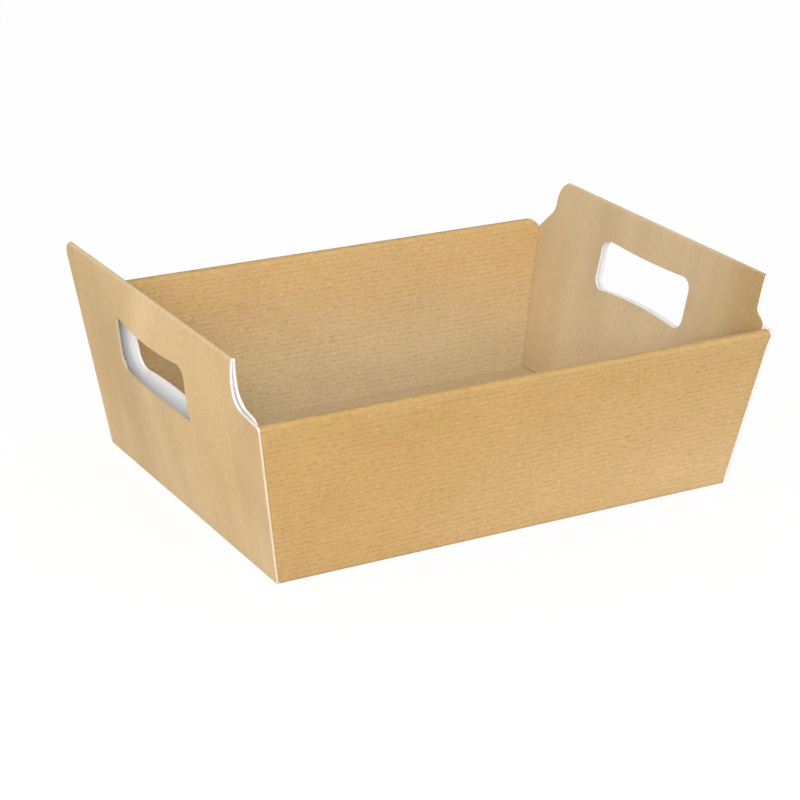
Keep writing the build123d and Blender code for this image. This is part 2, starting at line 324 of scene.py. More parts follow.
class FlatSheet:
    """The outline of the sheet as it is cut, and where each of its points goes when it is folded."""

    def __init__(self, sizes):
        self.sizes = sizes
        board, gap = sizes.board, sizes.layer_gap
        self.fold_mid = sizes.fold_inside + board / 2
        fold_outside = sizes.fold_inside + board
        end_turn = math.pi / 2 - sizes.end_lean
        long_turn = math.pi / 2 - sizes.long_lean
        self.end_slope = math.tan(sizes.end_lean)
        self.end_cos = math.cos(sizes.end_lean)
        self.long_slope = math.tan(sizes.long_lean)
        self.long_cos = math.cos(sizes.long_lean)
        self.panel_foot = fold_outside * math.tan(end_turn / 2)
        self.end_start = sizes.base_length / 2 - self.panel_foot
        self.long_start = sizes.base_width / 2 - fold_outside * math.tan(long_turn / 2)
        self.layer_step = (board + gap) / self.end_cos
        self.rim_up = sizes.rim_height / self.end_cos

        end_fold_mid = (board + sizes.end_fold_gap) / 2
        fold_reach = end_fold_mid + board / 2
        self.fold_up = (sizes.end_height - fold_reach * (1 + math.sin(sizes.end_lean))) / self.end_cos
        self.panel_top = self.fold_up + fold_reach + gap
        self.bite_rise = self.panel_top - self.rim_up
        self.hole_centre = self.fold_up + fold_reach - sizes.grip_height - sizes.hole_end_height / 2
        self.tab_top = self.rim_up - sizes.tab_below_rim
        tab_room = board + gap + gap - sizes.end_fold_gap
        self.inner_turn = math.atan(tab_room / (self.fold_up - self.tab_top))
        self.lining_inset = sizes.long_wall / self.long_cos + gap

        end = self.end_line = FoldLine((self.end_start, board / 2))
        end.bend(self.fold_mid, end_turn)
        self.end_panel = end.length
        end.run(self.fold_up - self.panel_foot)
        self.end_fold = end.length
        self.end_fold_mid = end_fold_mid
        end.bend(end_fold_mid, math.pi - self.inner_turn)
        self.end_lining = end.length
        lining_lean = sizes.end_lean + self.inner_turn
        lining_foot = board + gap + board + gap + board / 2 * math.sin(lining_lean)
        end.run((end.end.y - lining_foot) / math.cos(lining_lean))

        crown_mid = (sizes.long_wall - board) / 2
        long = self.long_line = FoldLine((self.long_start, board / 2))
        long.bend(self.fold_mid, long_turn)
        self.long_panel = long.length
        crown_foot = sizes.rim_height - board / 2 - crown_mid * (1 + math.sin(sizes.long_lean))
        long.run((crown_foot - long.end.y) / self.long_cos)
        self.long_crown = long.length
        long.bend(crown_mid, math.pi)
        self.long_lining = long.length
        flap_height = board + gap + board / 2
        bend_drop = self.fold_mid * (1 - math.cos(long_turn))
        long.run((long.end.y - flap_height - bend_drop) / self.long_cos)
        self.long_foot = long.length
        long.bend(self.fold_mid, -long_turn)
        self.long_flap = long.length
        long.run(long.end.x - sizes.flap_seam / 2)

        self.tab_turn = math.acos(math.sin(sizes.end_lean) * math.sin(sizes.long_lean))
        self.tab_slant = math.atan(self.end_slope * self.long_cos)
        self.tab_out = Vector((math.cos(self.tab_slant), -math.sin(self.tab_slant)))
        turn_reach = (sizes.tab_bend + board / 2) * math.tan(self.tab_turn / 2)
        self.tab_inset = turn_reach / math.cos(self.tab_slant)

    def half_width(self, up):
        """Half of an end panel's width at a distance up its slope, or out on the flat sheet."""
        return self.sizes.base_width / 2 + up * self.end_cos * self.long_slope

    def half_length(self, height, layers):
        """Half of the basket's length at a height, that many layers inside its end walls."""
        return self.sizes.base_length / 2 + height * self.end_slope - layers * self.layer_step

    def bite_depth(self, side, hand):
        """Reach of the scoop at a corner; the left back corner has none."""
        sizes = self.sizes
        if side == LEFT:
            return sizes.left_front_bite if hand == FRONT else 0.0
        return sizes.right_front_bite if hand == FRONT else sizes.right_back_bite

    def end_edge(self, side, hand, inset):
        """One edge of an end panel, from its foot to its top, as points across and up the panel."""
        sizes = self.sizes
        depth = self.bite_depth(side, hand)
        foot = Vector((self.half_width(self.panel_foot) - inset, self.panel_foot))
        top = self.panel_top
        if depth == 0.0:
            shoulder = self.rim_up + sizes.layer_gap
            cuts = (inset, 0.0) if inset else ()
            step = [Vector((self.half_width(shoulder) - cut, shoulder)) for cut in cuts]
            tip = Vector((self.half_width(top), top))
            path = [foot, *step, tip, Vector((0.0, top))]
            return rounded(path, len(path) - 2, sizes.left_back_tip_round)
        front_drop = sizes.left_front_drop if side == LEFT else sizes.right_front_drop
        drop = self.bite_rise * (sizes.right_back_drop if hand == BACK else front_drop)
        inner = Vector((self.half_width(self.rim_up) - depth, self.rim_up + drop))
        fall = -sizes.back_shelf_fall if hand == BACK else -2 * drop / depth
        flare = self.end_cos * self.long_slope
        edge = sizes.base_width / 2 - inset
        across = (edge + flare * (inner.y - fall * inner.x)) / (1 - flare * fall)
        shelf = Vector((across, inner.y + fall * (across - inner.x)))
        lean = sizes.right_flare if side == RIGHT else sizes.left_flare
        bow = sizes.right_bow if side == RIGHT else sizes.left_bow
        tip = Vector((inner.x + self.bite_rise * lean, top))
        flank = bowed(inner, tip, self.bite_rise * bow)
        path = [foot, shelf, *flank]
        if side == LEFT and inset:
            cut = sizes.lining_cut
            path[1:2] = [shelf - Vector((0.0, cut)), shelf.lerp(inner, 2 * cut / depth)]
        elif side == LEFT:
            path = rounded(path, 1, sizes.corner_round)
        tip_round = sizes.right_back_tip_round if hand == BACK else sizes.front_tip_round
        path = rounded([*path, Vector((0.0, top))], len(path) - 1, tip_round)
        return rounded(path, path.index(inner), sizes.bite_round)

    def end_chain(self, side, hand, fold_parts=8):
        """One edge of an end wall's strip, from the base out, as distance from the base and across."""
        outer = self.end_edge(side, hand, 0.0)
        lining = self.end_edge(side, hand, self.lining_inset)
        chain = [(0.0, self.half_width(0.0))]
        panel = [point for point in outer if point.y < self.fold_up]
        chain += [(self.end_panel + point.y - self.panel_foot, point.x) for point in panel]
        for part in range(fold_parts + 1):
            swept = (math.pi - self.inner_turn) * part / fold_parts
            up = self.fold_up + self.end_fold_mid * math.sin(swept)
            chain.append((self.end_fold + self.end_fold_mid * swept, self.edge_across(outer, up)))
        inner = [point for point in lining[1:] if point.y < self.fold_up]
        chain += [(self.lining_distance(point.y), point.x) for point in reversed(inner)]
        chain.append((self.end_line.length, lining[0].x))
        return chain

    def edge_across(self, path, up):
        """How far across an edge lies at a height near its top."""
        pairs = list(zip(path, path[1:]))
        below, above = next(pair for pair in reversed(pairs) if pair[0].y <= up <= pair[1].y)
        return below.lerp(above, (up - below.y) / max(above.y - below.y, LEVEL)).x

    def lining_distance(self, up):
        """Distance along the end strip of a height on the inner panel."""
        return self.end_lining + (self.fold_up - up) / math.cos(self.inner_turn)

    def rim_round(self, side, hand):
        """Rounding at one end of a rim: its reach, its fall and the height where it starts."""
        sizes = self.sizes
        if hand == BACK:
            return sizes.back_rim_round, sizes.back_rim_drop, sizes.rim_height - sizes.board / 2
        reach = sizes.left_front_rim_round if side == LEFT else sizes.right_front_rim_round
        return reach, reach, sizes.rim_height + sizes.layer_gap

    def long_end(self, distance, rounding, layers):
        """Half length of a long wall's strip at a distance, that many layers inside the end."""
        height = self.long_line.place(distance).y
        reach = self.half_length(height, layers)
        back, drop, top = rounding
        into = min((height - top) / drop + 1.0, 1.0)
        if into > 0.0:
            reach -= back * (1.0 - math.sqrt(1.0 - into * into))
        return reach

    def crease(self, distance):
        """Where a long wall's strip starts to turn round the corner into its tab."""
        return self.half_length(self.long_line.place(distance).y, 1) - self.tab_inset

    def long_chain(self, side, hand):
        """One end of a long wall's strip, from the base out, as distance from the base and along."""
        sizes = self.sizes
        foot = self.end_start - sizes.layer_gap
        chain = [(0.0, foot), (self.long_panel, foot)]

        def height_distance(up):
            height = up * self.end_cos
            return self.long_panel + (height - self.long_line.place(self.long_panel).y) / self.long_cos

        low, high = height_distance(sizes.tab_foot), height_distance(self.tab_top)
        rounding = self.rim_round(side, hand)
        chain.append((low, self.long_end(low, rounding, 1)))
        for distance in (low + sizes.tab_taper, high - sizes.tab_taper):
            root = Vector((self.crease(distance), distance))
            corner = root + self.tab_out * sizes.tab_reach
            chain.append((corner.y, corner.x))
        chain.append((high, self.long_end(high, rounding, 1)))
        steps = [sizes.back_rim_round * part / RIM_PARTS for part in range(1, RIM_PARTS + 1)]
        near = [self.long_crown - step for step in reversed(steps)]
        chain += [(distance, self.long_end(distance, rounding, 1)) for distance in near]
        for part in range(CROWN_PARTS + 1):
            past = part / CROWN_PARTS
            distance = self.long_crown + (self.long_lining - self.long_crown) * past
            chain.append((distance, self.long_end(distance, rounding, max(1.0, 2 * past))))
        inner = [self.long_lining + step for step in steps]
        inner += [self.long_foot, self.long_flap, self.long_line.length]
        chain += [(distance, self.long_end(distance, rounding, 2)) for distance in inner]
        return chain

    def hole(self, side):
        """A hand hole, as points across and up the panel; the left one has two tighter corners."""
        sizes = self.sizes
        half = sizes.hole_length / 2
        foot = self.hole_centre - sizes.hole_end_height / 2
        top = self.hole_centre + sizes.hole_end_height / 2
        tight = sizes.left_hole_tight_round if side == LEFT else sizes.hole_round
        lower = bowed(Vector((-half, foot)), Vector((half, foot)), sizes.hole_bottom_bow)
        upper = bowed(Vector((half, top)), Vector((-half, top)), sizes.hole_top_bow)
        middle = len(lower) // 2
        path = lower[middle:] + upper + lower[:middle + 1]
        right_foot = len(lower) - middle - 1
        left_top = right_foot + len(upper)
        path = rounded(path, left_top + 1, tight)
        path = rounded(path, left_top, sizes.hole_round)
        path = rounded(path, right_foot + 1, tight)
        return rounded(path, right_foot, sizes.hole_round)[:-1]

    def loops(self):
        """The sheet's outline, counter-clockwise from the right back corner, and its four holes."""
        outline = []
        for side, hand in ((RIGHT, BACK), (LEFT, BACK), (LEFT, FRONT), (RIGHT, FRONT)):
            end, long = self.end_chain(side, hand), self.long_chain(side, hand)
            end = [(side * (self.end_start + out), hand * across) for out, across in end]
            long = [(side * along, hand * (self.long_start + out)) for out, along in long]
            corner = end[::-1] + [(side * self.end_start, hand * self.long_start)] + long
            outline += corner if side * hand > 0 else corner[::-1]
        found = [outline]
        for side in (LEFT, RIGHT):
            hole = self.hole(side)
            shift = self.sizes.left_outer_hole_shift if side == LEFT else 0.0
            panel = self.end_start + self.end_panel - self.panel_foot
            found.append([(side * (panel + point.y), point.x + shift) for point in hole])
            lining = [(self.end_start + self.lining_distance(point.y), point.x) for point in hole]
            found.append([(side * out, across) for out, across in lining])
        return found

    def bulge(self, side, up, across):
        """How far an outer end panel bows out at a point."""
        sizes = self.sizes
        height = (up - self.panel_foot) / (self.fold_up - self.panel_foot)
        shown = 0.0
        for near, deep in BULGE_SHARES:
            others = [other for other, _ in BULGE_SHARES if other != near]
            shown += deep * math.prod((height - other) / (near - other) for other in others)
        most = sizes.left_bulge if side == LEFT else sizes.right_bulge
        across_share = min(abs(across) / self.half_width(up), 1.0)
        past = max(across_share - BOW_KEPT, 0.0) / (1.0 - BOW_KEPT)
        return most * shown * (1 - across_share * across_share) ** BOW_FADE * (1 - past * past) ** 2

    def turn_tab(self, along, out):
        """Turns a long wall's end round the corner: place along, place out and lift off the wall."""
        past = (along - self.crease(out)) * math.cos(self.tab_slant)
        if past <= 0.0 or not self.long_panel < out < self.long_crown:
            return along, out, 0.0
        easing = min((out - self.long_panel) / EASE_FOOT, (self.long_crown - out) / EASE_RIM, 1.0)
        turn = self.tab_turn * easing
        radius = self.sizes.tab_bend
        bent = min(past, radius * turn) / radius
        beyond = past - bent * radius
        reach = radius * math.sin(bent) + beyond * math.cos(bent)
        lift = radius * (1 - math.cos(bent)) + beyond * math.sin(bent)
        root = Vector((along, out)) - self.tab_out * past
        place = root + self.tab_out * reach
        return place.x, place.y, lift

    def lean_corner(self, place):
        """Leans the left front corner out beyond its two walls."""
        sizes = self.sizes
        behind = sizes.base_width / 2 + place.z * self.long_slope + place.y
        inward = self.half_length(place.z, 0) + place.x
        near = smooth(1.0 - behind / sizes.corner_reach) * smooth(1.0 - inward / sizes.corner_run)
        up = min(place.z / sizes.rim_height, 1.0)
        return place - Vector((sizes.corner_lean * up * near, 0.0, 0.0))

    def folded(self, point):
        """Where a point of the flat sheet goes when the basket is folded up and has settled."""
        return self.lean_corner(self.turned_up(point))

    def turned_up(self, point):
        """Where a point of the flat sheet goes when every fold is made."""
        side = RIGHT if point.x > 0 else LEFT
        hand = BACK if point.y > 0 else FRONT
        out = abs(point.x) - self.end_start
        if out > 0.0 and abs(point.y) < self.half_width(out) + SLIT:
            lift = 0.0
            if self.end_panel < out < self.end_fold:
                lift = -self.bulge(side, self.panel_foot + out - self.end_panel, point.y)
            place = self.end_line.place(out, lift)
            return Vector((side * place.x, point.y, place.y))
        out = abs(point.y) - self.long_start
        if out > 0.0:
            along, out, lift = self.turn_tab(abs(point.x), out)
            place = self.long_line.place(out, lift)
            return Vector((side * along, hand * place.x, place.y))
        return Vector((point.x, point.y, self.sizes.board / 2))


def cut_sheet(bm, flat):
    """Fills the flat sheet inside its outline and round its hand holes, kraft face down."""
    for loop in flat.loops():
        verts = [bm.verts.new((x, y, 0.0)) for x, y in loop]
        for start, finish in zip(verts, verts[1:] + verts[:1]):
            bm.edges.new((start, finish))
    down = (0.0, 0.0, -1.0)
    bmesh.ops.triangle_fill(bm, use_beauty=True, use_dissolve=False, edges=bm.edges[:], normal=down)
    bm.normal_update()
    bmesh.ops.reverse_faces(bm, faces=[face for face in bm.faces if face.normal.z > 0.0])


def slice_sheet(bm, places, way):
    """Divides the flat sheet along straight lines across a way."""
    for place in places:
        every = bm.verts[:] + bm.edges[:] + bm.faces[:]
        bmesh.ops.bisect_plane(bm, geom=every, dist=WELD, plane_co=way * place, plane_no=way)


def divide_sheet(bm, flat):
    """Divides the flat sheet so that it can follow every fold, without its filling's slanting edges."""
    sizes = flat.sizes
    for start, line, way in (
        (flat.end_start, flat.end_line, Vector((1.0, 0.0, 0.0))),
        (flat.long_start, flat.long_line, Vector((0.0, 1.0, 0.0))),
    ):
        parts = round(2 * start / sizes.flat_step)
        places = [start * (2 * part / parts - 1) for part in range(1, parts)]
        outer = [start + station for station in line.stations(sizes.flat_step, sizes.bend_step)[:-1]]
        slice_sheet(bm, places + outer + [-place for place in outer], way)
    slanting = []
    for edge in bm.edges:
        step = edge.verts[1].co - edge.verts[0].co
        if not edge.is_boundary and min(abs(step.x), abs(step.y)) > WELD:
            slanting.append(edge)
    bmesh.ops.dissolve_edges(bm, edges=slanting, use_verts=False, use_face_split=False)
    spare = [vert for vert in bm.verts if len(vert.link_edges) == 2 and not vert.is_boundary]
    bmesh.ops.dissolve_verts(bm, verts=spare)
    for side in (LEFT, RIGHT):
        for hand in (FRONT, BACK):
            divide_tab(bm, flat, side, hand)


def divide_tab(bm, flat, side, hand):
    """Divides one end of a long wall along the slanting fold of its tab."""
    sizes = flat.sizes
    root = Vector((side * flat.crease(flat.long_panel), hand * (flat.long_start + flat.long_panel), 0.0))
    way = Vector((side * flat.tab_out.x, hand * flat.tab_out.y, 0.0))
    near = []
    for face in bm.faces:
        middle = face.calc_center_median()
        out = hand * middle.y - flat.long_start
        edge = flat.half_width(side * middle.x - flat.end_start)
        if flat.long_panel < out < flat.long_crown and side * middle.x > flat.end_start - sizes.tab_reach:
            if hand * middle.y > edge:
                near.append(face)
    for part in range(TAB_PARTS + 1):
        geom = set(near)
        for face in near:
            geom.update(face.edges)
            geom.update(face.verts)
        place = root + way * (sizes.tab_bend * flat.tab_turn * part / TAB_PARTS)
        cut = bmesh.ops.bisect_plane(bm, geom=list(geom), dist=WELD, plane_co=place, plane_no=way)
        near = [face for face in cut["geom"] if isinstance(face, bmesh.types.BMFace)]


def new_object(context, name, bm):
    """An object at the origin that holds a finished mesh."""
    mesh = bpy.data.meshes.new(name)
    bm.to_mesh(mesh)
    bm.free()
    made = bpy.data.objects.new(name, mesh)
    context.scene.collection.objects.link(made)
    return made


# Board materials

# Each layer of the grain: waves to the metre along the ribs and across them, detail and roughness
GRAIN = {
    "wander": (6.0, 40.0, 2.0, 0.5), "broken": (190.0, 360.0, 2.0, 0.5), "coarse": (300.0, 560.0, 3.0, 0.6),
    "fine": (760.0, 950.0, 2.0, 0.6), "light": (210.0, 560.0, 1.0, 0.5), "dark": (230.0, 520.0, 1.0, 0.5),
    "cloud": (24.0, 30.0, 3.0, 0.55), "patch": (62.0, 80.0, 2.0, 0.55), "streak": (3.5, 34.0, 2.0, 0.5),
}
TORN_WAVES, TORN_DETAIL, TORN_ROUGHNESS = (900.0, 900.0, 900.0), 3.0, 0.6
NOISE_MIDDLE = 0.5
# How far the ribs wander, in ribs, and the weights of coarse fibre and of fibre in the relief
WANDER, COARSE_WEIGHT, RELIEF_WEIGHT = 1.2, 0.8, 0.6
# Levels of noise between which a mark fades in, and its strength at both
VALLEY, BROKEN = (0.0, 0.95), (0.35, 0.65, 0.05, 1.0)
LIGHT_FLECK, DARK_FLECK = (0.62, 0.74), (0.64, 0.76)
ROSE_PATCH, STRAW_PATCH = (0.0, 0.3, 0.0, 0.9), (0.0, -0.3, 0.0, 0.9)
FAINT_RIB, TORN_DUST = (-0.5, 0.5, 0.03, 0.0), (0.35, 0.75, 0.0, 0.15)
# Places in metres between which a tint fades in, and its strength at both
# Painted sheen on these three lines: the long walls grow lighter to the right and low down, and the end
# walls are lightest down a middle band and at the foot, fading to plain kraft at the back
SHEEN_ALONG, SHEEN_UP = (-0.16, 0.18, 0.15, 0.75), (1.0, 0.3)
SHEEN_BAND_PLACE, SHEEN_BAND_FADE = 0.008, (0.0, 0.06, 0.25, 0.0)
FOOT_LIGHT, SHEEN_BACK_FADE = (0.06, 0.0, 0.0, 0.4), (0.04, 0.12, 0.0, 0.05)
# Painted light and shade inside the end walls on this line: one even tone towards the back, darker towards
# the front
PAINTED_INSIDE_BACK, PAINTED_INSIDE_FRONT = (0.05, 0.105, 0.0, 0.85), (-0.04, -0.11)
CREST_WORN, ROLLED = (0.0002, 0.0014, 0.15, 0.0), (0.0015, 0.004, 0.0, 0.75)
WING, CORNER_DUST = (0.09, 0.1), (0.102, 0.096, 0.0, 0.6)
# How much each mark lightens the kraft, and how much less on the end walls
TONE_START, END_CALM = 0.1, -0.4
TONES = {"Rib": -0.3, "Fibre": 0.95, "Light Fleck": 0.3, "Dark Fleck": -0.35}
CLOUD_TONE, STREAK_TONE, REVERSE_FIBRE = 0.35, 0.8, 0.5
# The matt surface of the board
KRAFT_ROUGHNESS, REVERSE_ROUGHNESS, SHEEN = 0.85, 0.8, 0.25
RELIEF_STRENGTH, RELIEF_DEPTH = 0.3, 0.0001


def add(tree, kind, inputs=None, **settings):
    """A node of that kind with its settings; each input is set, or linked if it is given a socket."""
    made = tree.nodes.new(kind)
    for name, value in settings.items():
        setattr(made, name, value)
    for name, value in (inputs or {}).items():
        if isinstance(value, bpy.types.NodeSocket):
            tree.links.new(value, made.inputs[name])
        else:
            made.inputs[name].default_value = value
    return made


def calc(tree, operation, first, second=0.0, third=0.0):
    """The result of a sum on sockets or numbers."""
    return add(tree, "ShaderNodeMath", {0: first, 1: second, 2: third}, operation=operation).outputs[0]


def ramp(tree, value, low, high, to_low=0.0, to_high=1.0):
    """A value carried smoothly from one range to another and held at its ends."""
    inputs = {"Value": value, 1: low, 2: high, 3: to_low, 4: to_high}
    made = add(tree, "ShaderNodeMapRange", inputs, interpolation_type="SMOOTHSTEP", clamp=True)
    return made.outputs[0]


def noise(tree, place, waves, detail, roughness):
    """Even noise at a place, with that many waves to the metre each way."""
    scaled = add(tree, "ShaderNodeVectorMath", {0: place, 1: waves}, operation="MULTIPLY").outputs[0]
    inputs = {"Vector": scaled, "Scale": 1.0, "Detail": detail, "Roughness": roughness}
    return add(tree, "ShaderNodeTexNoise", inputs, noise_dimensions="3D").outputs[0]


def centred(tree, value):
    """Noise shifted so that it lies evenly about nothing."""
    return calc(tree, "SUBTRACT", value, NOISE_MIDDLE)


def mix(tree, factor, first, second, blend="MIX"):
    """One colour laid over another."""
    inputs = {0: factor, 6: first, 7: second}
    return add(tree, "ShaderNodeMix", inputs, data_type="RGBA", blend_type=blend).outputs[2]


def tinged(tree, tint, factor):
    """One colour multiplied by another."""
    return mix(tree, 1.0, tint, factor, "MULTIPLY")


def grain_group():
    """The board's grain, shared by its faces: broken ribs, fibres, flecks, clouds, patches and relief."""
    tree = bpy.data.node_groups.new("board_grain", "ShaderNodeTree")
    face = tree.interface
    face.new_socket("Place", in_out="INPUT", socket_type="NodeSocketVector")
    face.new_socket("Rib Pitch", in_out="INPUT", socket_type="NodeSocketFloat")
    start = add(tree, "NodeGroupInput")
    place, pitch = start.outputs["Place"], start.outputs["Rib Pitch"]
    layers = {}
    for name, (along, over, detail, roughness) in GRAIN.items():
        layers[name] = noise(tree, place, (along, over, 0.0), detail, roughness)

    across = add(tree, "ShaderNodeSeparateXYZ", {0: place}).outputs["Y"]
    wander = calc(tree, "MULTIPLY", centred(tree, layers["wander"]), WANDER)
    ribs = calc(tree, "ADD", calc(tree, "DIVIDE", across, pitch), wander)
    valley = ramp(tree, calc(tree, "SINE", calc(tree, "MULTIPLY", ribs, 2 * math.pi)), *VALLEY)
    rib = calc(tree, "MULTIPLY", valley, ramp(tree, layers["broken"], *BROKEN))
    coarse, fine = centred(tree, layers["coarse"]), centred(tree, layers["fine"])
    fibre = calc(tree, "MULTIPLY_ADD", coarse, COARSE_WEIGHT, fine)
    found = {
        "Rib": rib,
        "Fibre": fibre,
        "Light Fleck": ramp(tree, layers["light"], *LIGHT_FLECK),
        "Dark Fleck": ramp(tree, layers["dark"], *DARK_FLECK),
        "Cloud": centred(tree, layers["cloud"]),
        "Patch": centred(tree, layers["patch"]),
        "Streak": centred(tree, layers["streak"]),
        "Relief": calc(tree, "SUBTRACT", calc(tree, "MULTIPLY", fibre, RELIEF_WEIGHT), rib),
    }
    for name in found:
        face.new_socket(name, in_out="OUTPUT", socket_type="NodeSocketFloat")
    add(tree, "NodeGroupOutput", found)
    return tree


def board_grain(tree, look, group):
    """The grain's outputs at a place on the flat sheet, and that place."""
    place = add(tree, "ShaderNodeUVMap", uv_map=BLANK_MAP).outputs[0]
    inputs = {"Place": place, "Rib Pitch": look.rib_pitch}
    return add(tree, "ShaderNodeGroup", inputs, node_tree=group).outputs, place


def new_material(name):
    """An empty material and its node tree."""
    made = bpy.data.materials.new(name)
    made.use_nodes = True
    made.node_tree.nodes.clear()
    return made, made.node_tree


def finish_material(tree, tint, relief, roughness):
    """Ends a board material in a matt shader with a fine relief."""
    inputs = {"Strength": RELIEF_STRENGTH, "Distance": RELIEF_DEPTH, "Height": relief}
    bump = add(tree, "ShaderNodeBump", inputs).outputs[0]
    inputs = {"Base Color": tint, "Roughness": roughness, "Specular IOR Level": SHEEN, "Normal": bump}
    shader = add(tree, "ShaderNodeBsdfPrincipled", inputs)
    add(tree, "ShaderNodeOutputMaterial", {"Surface": shader.outputs[0]})


def kraft_tint(tree, look, flat, at, end_out, long_out, on_end):
    """The kraft's colour with painted light laid in: sheen on the end walls and on the long walls' right and
    low parts, and the inside painted lighter and duller.
    """
    # Painted sheen: the long walls lighten towards the pale kraft to the right and low down
    low = ramp(tree, long_out, flat.long_panel, flat.long_crown, *SHEEN_UP)
    painted_sheen = calc(tree, "MULTIPLY", ramp(tree, at["X"], *SHEEN_ALONG), low)
    tint = mix(tree, painted_sheen, look.kraft, look.kraft_pale)

    # Painted sheen on the end walls: lightest down a middle band and at the foot, fading to plain kraft at
    # the back
    off_sheen_band = calc(tree, "ABSOLUTE", calc(tree, "SUBTRACT", at["Y"], SHEEN_BAND_PLACE))
    painted_end_sheen = mix(tree, ramp(tree, off_sheen_band, *SHEEN_BAND_FADE), look.kraft_pale, look.streak)
    painted_end_sheen = mix(tree, ramp(tree, end_out, *FOOT_LIGHT), painted_end_sheen, look.streak)
    painted_end_sheen = mix(tree, ramp(tree, at["Y"], *SHEEN_BACK_FADE), painted_end_sheen, look.kraft)
    # Painted light and shade inside the end walls: lighter towards the floor, one even tone towards the
    # back, darker towards the front
    down = ramp(tree, end_out, flat.end_lining, flat.end_line.length)
    painted_end_inside = mix(tree, down, look.inside_pale, look.inside_low)
    painted_end_inside = mix(tree, ramp(tree, at["Y"], *PAINTED_INSIDE_BACK), painted_end_inside, look.inside_back)
    painted_end_inside = mix(tree, ramp(tree, at["Y"], *PAINTED_INSIDE_FRONT), painted_end_inside, look.inside_tan)

    on_long = calc(tree, "SUBTRACT", 1.0, on_end)
    crown_top = (flat.long_crown + flat.long_lining) / 2
    tint = mix(tree, on_end, tint, painted_end_sheen)
    # The painted inside light fades in over the end walls' top fold and the long walls' inner crown, and
    # turns greyer and lighter down the long walls' lining
    for where, out, first, last, inside in (
        (on_end, end_out, flat.end_fold, flat.end_lining, painted_end_inside),
        (on_long, long_out, crown_top, flat.long_lining, look.inside_top),
        (on_long, long_out, flat.long_lining, flat.long_foot, look.inside),
    ):
        tint = mix(tree, calc(tree, "MULTIPLY", ramp(tree, out, first, last), where), tint, inside)
    return tint


def kraft_material(look, flat, group):
    """The kraft face: its colour with painted light and shade, ribbed, flecked and clouded, and rubbed along
    the top folds.
    """
    made, tree = new_material("ribbed_kraft")
    grain, place = board_grain(tree, look, group)
    at = add(tree, "ShaderNodeSeparateXYZ", {0: place}).outputs
    end_out = calc(tree, "SUBTRACT", calc(tree, "ABSOLUTE", at["X"]), flat.end_start)
    long_out = calc(tree, "SUBTRACT", calc(tree, "ABSOLUTE", at["Y"]), flat.long_start)
    edge = calc(tree, "MULTIPLY_ADD", end_out, flat.end_cos * flat.long_slope, flat.panel_foot + SLIT)
    past_fold = calc(tree, "GREATER_THAN", end_out, 0.0)
    on_end = calc(tree, "MULTIPLY", past_fold, calc(tree, "LESS_THAN", long_out, edge))
    tint = kraft_tint(tree, look, flat, at, end_out, long_out, on_end)
    for tinge, levels in ((look.rose, ROSE_PATCH), (look.straw, STRAW_PATCH)):
        tint = mix(tree, ramp(tree, grain["Patch"], *levels), tint, tinged(tree, tint, tinge))

    tone = TONE_START
    for name, weight in TONES.items():
        tone = calc(tree, "MULTIPLY_ADD", grain[name], weight, tone)
    tone = calc(tree, "MULTIPLY", tone, calc(tree, "MULTIPLY_ADD", on_end, END_CALM, 1.0))
    tone = calc(tree, "MULTIPLY_ADD", grain["Cloud"], CLOUD_TONE, tone)
    end_streak = calc(tree, "MULTIPLY", grain["Streak"], on_end)
    tone = calc(tree, "MULTIPLY_ADD", end_streak, STREAK_TONE, tone)
    darker, lighter = tinged(tree, tint, look.darker), tinged(tree, tint, look.lighter)
    tint = mix(tree, calc(tree, "ADD", tone, NOISE_MIDDLE), darker, lighter)

    crest = (flat.end_fold + flat.end_lining) / 2
    off_crest = calc(tree, "ABSOLUTE", calc(tree, "SUBTRACT", end_out, crest))
    worn = calc(tree, "MULTIPLY", ramp(tree, off_crest, *CREST_WORN), on_end)
    tint = mix(tree, worn, tint, look.fold_worn)
    finish_material(tree, tint, grain["Relief"], KRAFT_ROUGHNESS)
    return made


def reverse_material(look, group):
    """The white reverse, with the ribs showing faintly."""
    made, tree = new_material("white_reverse")
    grain, _ = board_grain(tree, look, group)
    tone = calc(tree, "MULTIPLY_ADD", grain["Fibre"], REVERSE_FIBRE, grain["Rib"])
    tint = mix(tree, ramp(tree, tone, *FAINT_RIB), look.reverse, look.kraft_pale)
    finish_material(tree, tint, grain["Relief"], REVERSE_ROUGHNESS)
    return made


def core_material(look, flat):
    """The white core at the cut edges, finely torn, and kraft rolled over it where the left panel bows."""
    made, tree = new_material("white_core")
    place = add(tree, "ShaderNodeTexCoord").outputs["Object"]
    torn = noise(tree, place, TORN_WAVES, TORN_DETAIL, TORN_ROUGHNESS)
    at = add(tree, "ShaderNodeSeparateXYZ", {0: place}).outputs
    wing = ramp(tree, calc(tree, "ABSOLUTE", at["Y"]), *WING)
    left_wing = calc(tree, "MULTIPLY", wing, calc(tree, "LESS_THAN", at["X"], 0.0))
    corner = calc(tree, "MULTIPLY", left_wing, ramp(tree, at["Z"], *CORNER_DUST))
    dusty = calc(tree, "ADD", ramp(tree, torn, *TORN_DUST), corner)
    tint = mix(tree, dusty, look.core, look.kraft_pale)
    left = calc(tree, "MULTIPLY_ADD", at["X"], -1.0, -flat.sizes.base_length / 2)
    bow = calc(tree, "MULTIPLY_ADD", at["Z"], -flat.end_slope, left)
    rolled = calc(tree, "MULTIPLY", ramp(tree, bow, *ROLLED), calc(tree, "SUBTRACT", 1.0, wing))
    tint = mix(tree, rolled, tint, look.kraft)
    finish_material(tree, tint, torn, KRAFT_ROUGHNESS)
    return made


# Operators


